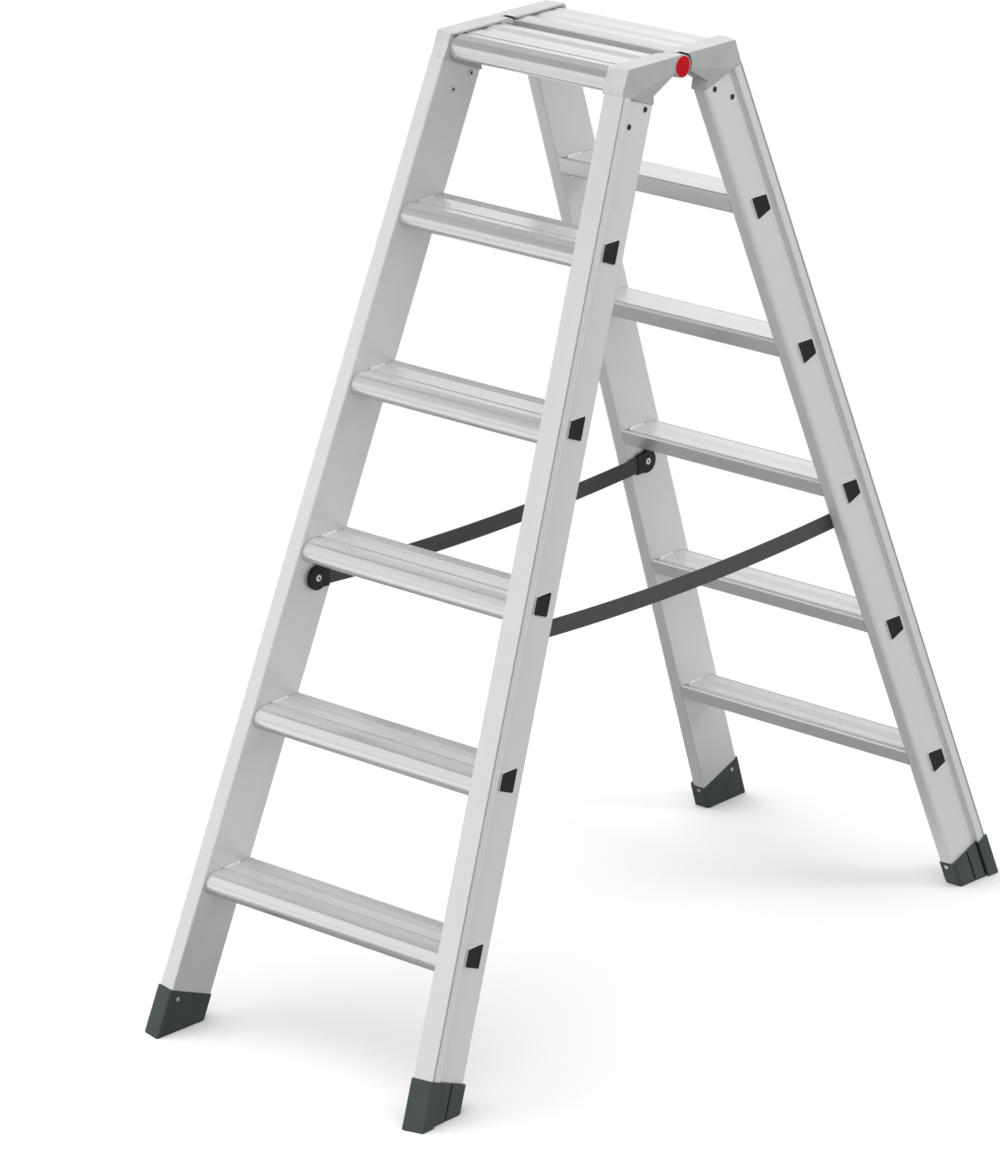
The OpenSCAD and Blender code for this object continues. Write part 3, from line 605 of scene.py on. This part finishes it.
def moulded_plastic(name, colour, roughness, grain_size, depth, gloss=0.5, edge=0.0):
    """Moulded plastic: a fine eroded grain, cloudy gloss and a little colour change."""
    made = bpy.data.materials.new(name)
    made.use_nodes = True
    tree = made.node_tree
    surface = tree.nodes["Principled BSDF"]
    surface.inputs["Specular IOR Level"].default_value = gloss
    place = node(tree, "ShaderNodeTexCoord").outputs["Object"]
    pores = node(tree, "ShaderNodeTexNoise", Scale=1000 / grain_size, Detail=3.0, Roughness=0.55)
    clouds = node(tree, "ShaderNodeTexNoise", Scale=30.0, Detail=3.0)
    for texture in (pores, clouds):
        tree.links.new(place, texture.inputs["Vector"])
    tint = node(tree, "ShaderNodeMixRGB")
    tree.links.new(ramp(tree, clouds.outputs[0], 0.3, 0.7, 0.0, 1.0), tint.inputs[0])
    tint.inputs[1].default_value = (*[c * 0.96 for c in colour], 1)
    tint.inputs[2].default_value = (*[c * 1.04 for c in colour], 1)
    tree.links.new(tint.outputs[0], surface.inputs["Base Color"])
    tree.links.new(ramp(tree, pores.outputs[0], 0.3, 0.7, roughness - 0.06, roughness + 0.06),
                   surface.inputs["Roughness"])
    relief = node(tree, "ShaderNodeBump", Strength=depth, Distance=0.0002)
    tree.links.new(pores.outputs[0], relief.inputs["Height"])
    if edge:
        soft_edge = node(tree, "ShaderNodeBevel", samples=6, Radius=edge)
        tree.links.new(soft_edge.outputs[0], relief.inputs["Normal"])
    tree.links.new(relief.outputs[0], surface.inputs["Normal"])
    return made


plug_finish = moulded_plastic("plug_plastic", (0.008, 0.008, 0.008), 0.45, 0.8, 0.08, 0.14)
for section, back in sections:
    shells = []
    for step in range(1, 6):
        rings = np.stack([tread_points(step * rise_step, chamber(grow), stile_web + beyond)
                          for grow, beyond in plug_rings])
        shells += [lofted(rings), lofted(rings * mirrored)]
    points, faces = joined(shells)
    piece(f"plugs_{section}_moulded", on_section(points, back), faces, f"{section}_section",
          [f"plugs_{section}"], plug_finish)

# Platform: two deeper extrusions with the treads' nose, one in each section, side by side at the top.
# Each is pushed over a tongue on the hinge bracket at either end.
platform_deep, platform_high, platform_end = 112.1, 25.0, 149.2 - fit_gap
platform_outside = rounded(nose(0, 48, 0.7) + platform_ridges + [
    (platform_deep, -1.3, 1.2), (platform_deep, -platform_high, 1.0), (nose_depth + 14, -platform_high, 0.8),
    (nose_depth + 5, -nose_height + 1, 0.8)], 4)
platform_front_room = rounded(nose(tread_wall, 18) + [
    (27, room_top, 0), (27, -platform_high + tread_wall, 0),
    (nose_depth + 4, -nose_height + tread_wall + 1, 0)], 2)
platform_rear_room = rounded([
    (29, room_top, 0.3), (platform_deep - tread_wall, room_top, 0.3),
    (platform_deep - tread_wall, -platform_high + tread_wall, 0.3),
    (29, -platform_high + tread_wall, 0.3)], 2)


def platform_points(outline):
    """Frame points of a platform outline at its right end."""
    y = -half_spread + lean_tan * platform_top + outline[:, 0]
    return np.stack([np.full(len(y), platform_end), y, platform_top + outline[:, 1]], -1)


for section, back in sections:
    points, faces, grain = extrusion(
        platform_points, [platform_outside, platform_front_room, platform_rear_room])
    piece(f"platform_{section}_extrusion", on_section(points, back), faces, f"{section}_section",
          [f"platform_{section}"], tread_finish, grain)

# Hinge brackets: four pale grey castings. A spigot fits into each stile's upper end, an arm runs inwards
# to the hinge, and a strip along the top closes the platform's end. Their edges are softly rounded.
cast_finish = moulded_plastic("cast_grey", (0.60, 0.62, 0.612), 0.45, 0.9, 0.06, 0.2, 0.0008)
# Painted shade: the castings' colour is darkened in narrow gaps, slits and corners, where little light gets
# in.
painted_gap_shade(cast_finish.node_tree, cast_finish.node_tree.nodes["Principled BSDF"], 0.008, 0.25, 0.7, 0.06)
for section, _ in sections:
    for hand, _ in hands:
        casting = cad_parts[f"bracket_{section}_{hand}"]
        casting.material_slots[0].material = cast_finish
        weld = casting.modifiers.new("weld", "WELD")
        weld.merge_threshold = 1e-5
        flat = casting.modifiers.new("flat", "DECIMATE")
        flat.decimate_type, flat.angle_limit = "DISSOLVE", math.radians(0.6)


# Bracket rivets: four hollow steel rivets in each section hold the brackets' spigots in the stiles.
# Their flanged heads are inside, and their open ends are spread outside.
def turned(profile, foot, axis, steps=32, ring=False):
    """Profile points (radius, height) carried round an axis that starts at foot; ring joins last to first."""
    r, h = np.array(profile, float).T
    axis = np.asarray(axis, float) / np.linalg.norm(axis)
    across = np.cross(axis, (0.3, 0.2, 0.9))
    across /= np.linalg.norm(across)
    upward = np.cross(axis, across)
    t = np.arange(steps) * 2 * np.pi / steps
    spoke = np.cos(t)[:, None] * across + np.sin(t)[:, None] * upward
    points = np.asarray(foot) + h[:, None, None] * axis + r[:, None, None] * spoke
    faces = band(len(r), steps)
    if ring:
        last = band(2, steps, (len(r) - 1) * steps)
        last[..., 2:] -= len(r) * steps
        faces = np.concatenate([faces, last])
    return points.reshape(-1, 3), faces.reshape(-1, 4).tolist()


def worn_steel_with_painted_shade(name, colour, metal, roughness):
    """Plated steel: satin, with fine pits and a cloudy plating, and dark where little light gets in."""
    made = moulded_plastic(name, colour, roughness, 0.6, 0.15)
    tree = made.node_tree
    surface = tree.nodes["Principled BSDF"]
    surface.inputs["Metallic"].default_value = metal
    painted_gap_shade(tree, surface, 0.012, 0.25, 0.75, 0.03)
    return made


rivet_finish = worn_steel_with_painted_shade("rivet_steel", (0.52, 0.52, 0.53), 0.8, 0.36)
# Radius, and distance outwards from the stile's inner face
bracket_rivet = [(2.4, 12.0), (2.4, -0.7), (2.7, -1.15), (3.4, -1.4), (4.4, -1.3), (5.1, -0.85), (5.4, -0.1),
                 (3.8, -0.1), (3.8, 24.55), (4.7, 24.6), (4.9, 24.9), (4.7, 25.1), (4.4, 25.15), (4.1, 24.9),
                 (4.0, 14.0), (0.0, 14.0), (0.0, 12.0)]
# Near-black discs just inside both ends of each rivet's bore: painted shade for the deep hollows, given as
# radius and distance outwards from the stile's inner face.
bore_shade_discs = [[(0, 24.4), (4.1, 24.4), (4.1, 24.7), (0, 24.72)],
               [(0, -0.05), (2.4, -0.05), (2.4, -0.5), (0, -0.55)]]
# Distance below the stile's upper end, and depth behind the climbing line
bracket_rivet_places = ((38.3, 40), (8.3, 68))
# Their near-black finish is painted shade.
bore_shade_finish = moulded_plastic("rivet_bore_painted_shade", (0.03, 0.03, 0.03), 0.6, 0.8, 0.05, 0.1)


def outwards(side):
    """Direction square to a stile's web, away from the treads."""
    return np.array([side * splay_cos, splay_sin * lean_sin, splay_sin * lean_cos])


for section, back in sections:
    shells, bore_shade = [], []
    for side in (-1, 1):
        for below, d in bracket_rivet_places:
            place = stile_points(side, 0.0, d, stile_top - below)
            shells.append(turned(bracket_rivet, place, outwards(side)))
            bore_shade += [turned(bore, place, outwards(side)) for bore in bore_shade_discs]
    points, faces = joined(bore_shade)
    piece(f"bracket_rivets_{section}_bores", on_section(points, back), faces, f"{section}_section",
          [f"bracket_rivets_{section}"], bore_shade_finish, merge=True)
    points, faces = joined(shells)
    piece(f"bracket_rivets_{section}_hollow", on_section(points, back), faces, f"{section}_section",
          [f"bracket_rivets_{section}"], rivet_finish, merge=True)

# Hinge: on each side a steel pin through both brackets' knuckles, a plain washer between the knuckles,
# and a red moulded cap that is pressed into the outer knuckle. The cap's face is plain.
hinge_height, arm_in, arm_out = platform_top - 13.5, 149.2, 181.0
arm_mid = (arm_in + arm_out) / 2
# Radius, and distance outwards along the hinge
hinge_pin = [(0, -2.2), (7.0, -2.2), (9.2, -1.9), (10, -1.2), (10, -0.3), (9.8, -0.2), (6, -0.2), (6, 29.2),
             (5.5, 29.7), (0, 29.7)]
hinge_washer = [(6.05, -0.35), (6.1, -0.4), (12.7, -0.4), (13, -0.2), (13, 0.2), (12.7, 0.4), (6.1, 0.4),
                (6.05, 0.35)]
hinge_cap = [(0, -1.95), (15.0, -1.95), (15.3, -1.7), (15.3, 0.7), (15.2, 1.0), (14.8, 1.2), (12, 1.35),
             (6, 1.55), (0, 1.6)]
pin_finish = worn_steel_with_painted_shade("pin_steel", (0.42, 0.42, 0.43), 0.85, 0.34)
washer_finish = moulded_plastic("washer_plastic", (0.70, 0.70, 0.68), 0.5, 0.8, 0.08)
cap_finish = moulded_plastic("cap_red", (0.74, 0.0006, 0.012), 0.45, 0.7, 0.04, 0.06)
for hand, side in hands:
    for kind, x, profile, slot, finish in (
            ("pin", arm_in, hinge_pin, "pin_steel", pin_finish),
            ("washer", arm_mid, hinge_washer, "washer_plastic", washer_finish),
            ("cap", arm_out, hinge_cap, "cap_red", cap_finish)):
        points, faces = turned(profile, (side * x, 0, hinge_height), (side, 0, 0), 56, kind == "washer")
        carrier = "back_section" if (kind, hand) == ("cap", "left") else "front_section"
        piece(f"hinge_{kind}_{hand}_turned", points, faces, carrier, [f"hinge_{kind}_{hand}"], finish,
              merge=True)

# Feet: dark grey plastic cups over the stiles' lower ends, cut level at the floor.
# Their outer sides have three lobes with grooves between them, and the sole's edge is rounded.
foot_top = 74.5


def foot_outline(inset):
    """Outline of a foot with its three outer lobes, drawn in by the inset."""
    q, spread, tight = inset, min(0.6 + inset, 2.0), max(0.9 - inset, 0.25)
    return rounded([
        (-1.3 + q, -3.376 + q, max(3 - q, 0.5)), (33.5 - q, 4.611 + q, max(3.5 - q, 0.5)),
        (33.5 - q, 27.4 - q, max(1.2 - q, 0.25)), (26.5 - q, 27.4 - q, spread), (26.5 - q, 30 + q, spread),
        (29.5 - q, 30 + q, tight), (29.5 - q, 52 - q, tight), (26.5 - q, 52 - q, spread),
        (26.5 - q, 54.6 + q, spread), (29.5 - q, 54.6 + q, tight), (29.5 - q, 87.1 - q, max(6 - q, 0.5)),
        (-1.3 + q, 87.1 - q, max(2.5 - q, 0.5))], 5)


# The stile's outline inside the cup, with one corner for each of the foot's, and where each clears it
cup = np.array([(0, 0), (30.5, 7), (30.5, 25)] + [(stile_web, d) for d in (25, 30, 34, 50, 52, 54.6, 58)]
               + [(stile_web, stile_depth), (0, stile_depth)])
cup_grow = np.array([(-1, -1.2), (1, -1), (1, 1), (1, 1)] + [(1, 0)] * 6 + [(1, 1), (-1, 1)])


def foot_rows(side):
    """Rings of a foot: round the sole's edge, up to the rim, over it and down inside to the cup's floor."""
    rings = []
    for height, inset in ((0, 2.4), (0.3, 1.3), (0.9, 0.55), (1.8, 0.12), (2.8, 0)):
        x, d = foot_outline(inset).T
        run = (height + d * lean_sin) / lean_cos
        rings.append(stile_points(side, x, d, (run - x * splay_sin) / splay_cos))
    for along, inset in ((foot_top - 1.0, 0), (foot_top - 0.3, 0.25), (foot_top, 0.85)):
        x, d = foot_outline(inset).T
        rings.append(stile_points(side, x, d, np.full(len(x), along)))
    return rings


def foot_shell(side):
    """The outer rings of a foot, then a straight wall down inside it, matched corner by corner."""
    rings = foot_rows(side)
    count = len(rings[0]) // len(cup)
    inner = cup + cup_grow * fit_gap
    corner = np.repeat(inner, count, 0)
    for along in (foot_top, stile_low - 0.2):
        rings.append(stile_points(side, corner[:, 0], corner[:, 1], np.full(len(corner), along)))
    return lofted(rings)


foot_finish = moulded_plastic("foot_plastic", (0.060, 0.072, 0.071), 0.50, 0.9, 0.12, 0.2)
# Painted shade: the feet's colour is darkened in the grooves between their lobes and in other narrow gaps.
painted_gap_shade(foot_finish.node_tree, foot_finish.node_tree.nodes["Principled BSDF"], 0.009, 0.2, 0.85, 0.15)
for section, back in sections:
    for hand, side in hands:
        points, faces = foot_shell(-side if back else side)
        piece(f"foot_{section}_{hand}_moulded", on_section(points, back), faces, f"{section}_section",
              [f"foot_{section}_{hand}"], foot_finish, merge=True, crease=40)

# Foot rivets: two in each foot, which hold it on the stile.
# They are plated steel with small domed heads, one on the inner side and one on the rear.
foot_rivet = [(0, -1.0), (1.0, -1.0), (1.3, -1.15), (2.4, -1.05), (3.2, -0.7), (3.6, -0.1), (2.0, -0.1),
              (2.0, 5.0), (0, 5.0)]
# Distance outwards, depth and length along the stile
inner_rivet, rear_rivet = (-1.3, 17, 62.0), (11.0, 87.1, 67.0)
for section, back in sections:
    shells = []
    for side in (-1, 1):
        shells.append(turned(foot_rivet, stile_points(side, *inner_rivet), outwards(side)))
        shells.append(turned(foot_rivet, stile_points(side, *rear_rivet), (0, -lean_cos, lean_sin)))
    points, faces = joined(shells)
    piece(f"foot_rivets_{section}_domed", on_section(points, back), faces, f"{section}_section",
          [f"foot_rivets_{section}"], rivet_finish, merge=True)

# Straps: on each side a woven webbing strap keeps the sections from sliding apart. Its ends sit in round
# moulded eyes, which turn on hollow steel rivets in the stiles. The strap is two halves that meet midway.
eye_level, eye_depth, eye_gap, eye_half, eye_bore, eye_columns = 660.0, 49.5, 1.4, 2.5, 4.05, 96
eye_along = eye_level / (splay_cos * lean_cos)
eye_y = -half_spread + eye_along * splay_cos * lean_sin + eye_depth * lean_cos
eye_z = eye_along * splay_cos * lean_cos - eye_depth * lean_sin
eye_face = inner_half - eye_along * splay_sin
eye_x = eye_face - eye_gap - eye_half
eye_turn = np.arange(eye_columns) * 2 * np.pi / eye_columns
strap_half_wide, strap_thick, strap_sag, strap_gap = 13.0, 2.2, 13.5, 0.02


def strap_height(distance):
    """Height of the webbing's middle line: a parabola that sags from the eye to the strap's middle."""
    t = distance / -eye_y
    return eye_z - strap_sag * (1 - (1 - t) ** 2)


def eye_outline(inset):
    """Polar outline about the rivet: a disc, with a short neck of the webbing's width towards the strap."""
    c, s = np.cos(eye_turn), np.sin(eye_turn)
    wide, long, disc = 15.6 - inset, 24.0 - inset, 18.5 - inset
    reach = np.minimum(long / np.maximum(c, 1e-6), wide / np.maximum(np.abs(s), 1e-6))
    r = np.where(c > 0.3, np.maximum(disc, reach), disc)
    return r * c, r * s


def eye_shell(side):
    """The eye's outline in steps across its thickness, with rounded edges, and the bore for its rivet."""
    def ring(x, y, z):
        return np.stack([np.full(eye_columns, side * (eye_x + x)), eye_y + y, eye_z + z], -1)

    rings = []
    edge = ((eye_half, 1.0), (2.3, 0.45), (1.9, 0.1), (1.4, 0))
    for x, inset in [(-x, inset) for x, inset in edge] + list(edge[::-1]):
        y, z = eye_outline(inset)
        rings.append(ring(x, y, z + np.where(y > 0, strap_height(y) - eye_z, 0)))
    for x in (eye_half, -eye_half):
        rings.append(ring(x, eye_bore * np.cos(eye_turn), eye_bore * np.sin(eye_turn)))
    rings.append(rings[0])
    return np.concatenate(rings), band(len(rings), eye_columns).reshape(-1, 4).tolist()


def strap_shell(side):
    """The webbing's flat section with thick woven edges, carried along its route from eye to middle."""
    turn = np.linspace(0, 2 * np.pi, 40, endpoint=False)
    wide = strap_half_wide * np.sign(np.cos(turn)) * np.abs(np.cos(turn)) ** 0.35
    thick = strap_thick / 2 * np.sign(np.sin(turn)) * np.abs(np.sin(turn)) ** 0.35
    distance = np.concatenate([[12.0, 12.4], np.linspace(13, -eye_y - strap_gap / 2, 60)])
    z = strap_height(distance)[:, None] + wide
    y = np.broadcast_to((eye_y + distance)[:, None], z.shape)
    rings = np.stack([side * (eye_x + np.broadcast_to(thick, z.shape)), y, z], -1)
    points, faces = lofted(rings)
    grain = np.stack([np.broadcast_to(wide, z.shape), y, np.broadcast_to(thick, z.shape)], -1).reshape(-1, 3)
    return points, faces, grain


def woven(name, colour):
    """Woven webbing: slanting twill cords across the width, darker between the cords, with a soft sheen."""
    made = bpy.data.materials.new(name)
    made.use_nodes = True
    tree = made.node_tree
    surface = tree.nodes["Principled BSDF"]
    surface.inputs["Roughness"].default_value = 0.72
    surface.inputs["Sheen Weight"].default_value = 0.25
    along = node(tree, "ShaderNodeAttribute", attribute_name="grain")
    parts = node(tree, "ShaderNodeSeparateXYZ")
    tree.links.new(along.outputs["Vector"], parts.inputs[0])
    across, down = parts.outputs["X"], parts.outputs["Y"]
    rib = maths(tree, "MULTIPLY", maths(tree, "ADD", across, down), 2 * math.pi / 0.0022)
    weft = maths(tree, "MULTIPLY", maths(tree, "SUBTRACT", across, down), 2 * math.pi / 0.0031)
    cords = maths(tree, "MULTIPLY", maths(tree, "SINE", rib, 0.0), maths(tree, "COSINE", weft, 0.0))
    tint = node(tree, "ShaderNodeMixRGB")
    tree.links.new(ramp(tree, cords, -0.8, 0.8, 0.0, 1.0), tint.inputs[0])
    tint.inputs[1].default_value = (*[c * 0.62 for c in colour], 1)
    tint.inputs[2].default_value = (*[c * 1.25 for c in colour], 1)
    tree.links.new(tint.outputs[0], surface.inputs["Base Color"])
    relief = node(tree, "ShaderNodeBump", Strength=0.5, Distance=0.0003)
    tree.links.new(cords, relief.inputs["Height"])
    tree.links.new(relief.outputs[0], surface.inputs["Normal"])
    return made


eye_finish = moulded_plastic("eye_plastic", (0.012, 0.012, 0.012), 0.45, 0.8, 0.08, 0.16)
strap_finish = woven("webbing", (0.034, 0.034, 0.034))
# Radius, and distance outwards from the eye's inner face
strap_rivet = [(1.8, 9.5), (1.8, -0.9), (2.1, -1.25), (3.2, -1.4), (4.6, -1.2), (5.2, -0.7), (5.4, -0.1),
               (4.0, -0.1), (4.0, 10.2), (3.6, 10.4), (2.2, 10.4)]
for section, back in sections:
    rivets = []
    for hand, side in hands:
        own = -side if back else side
        points, faces = eye_shell(own)
        piece(f"eye_{section}_{hand}_moulded", on_section(points, back), faces, f"{section}_{hand}_strap",
              [f"eye_{section}_{hand}"], eye_finish, merge=True)
        points, faces, grain = strap_shell(own)
        piece(f"strap_{section}_{hand}_webbing", on_section(points, back), faces, f"{section}_{hand}_strap",
              [f"strap_{section}_{hand}"], strap_finish, grain)
        rivets.append(turned(strap_rivet, (side * (eye_x - eye_half), eye_y, eye_z), (side, 0, 0), ring=True))
    points, faces = joined(rivets)
    piece(f"strap_rivets_{section}_hollow", on_section(points, back), faces, f"{section}_section",
          [f"strap_rivets_{section}"], rivet_finish, merge=True)
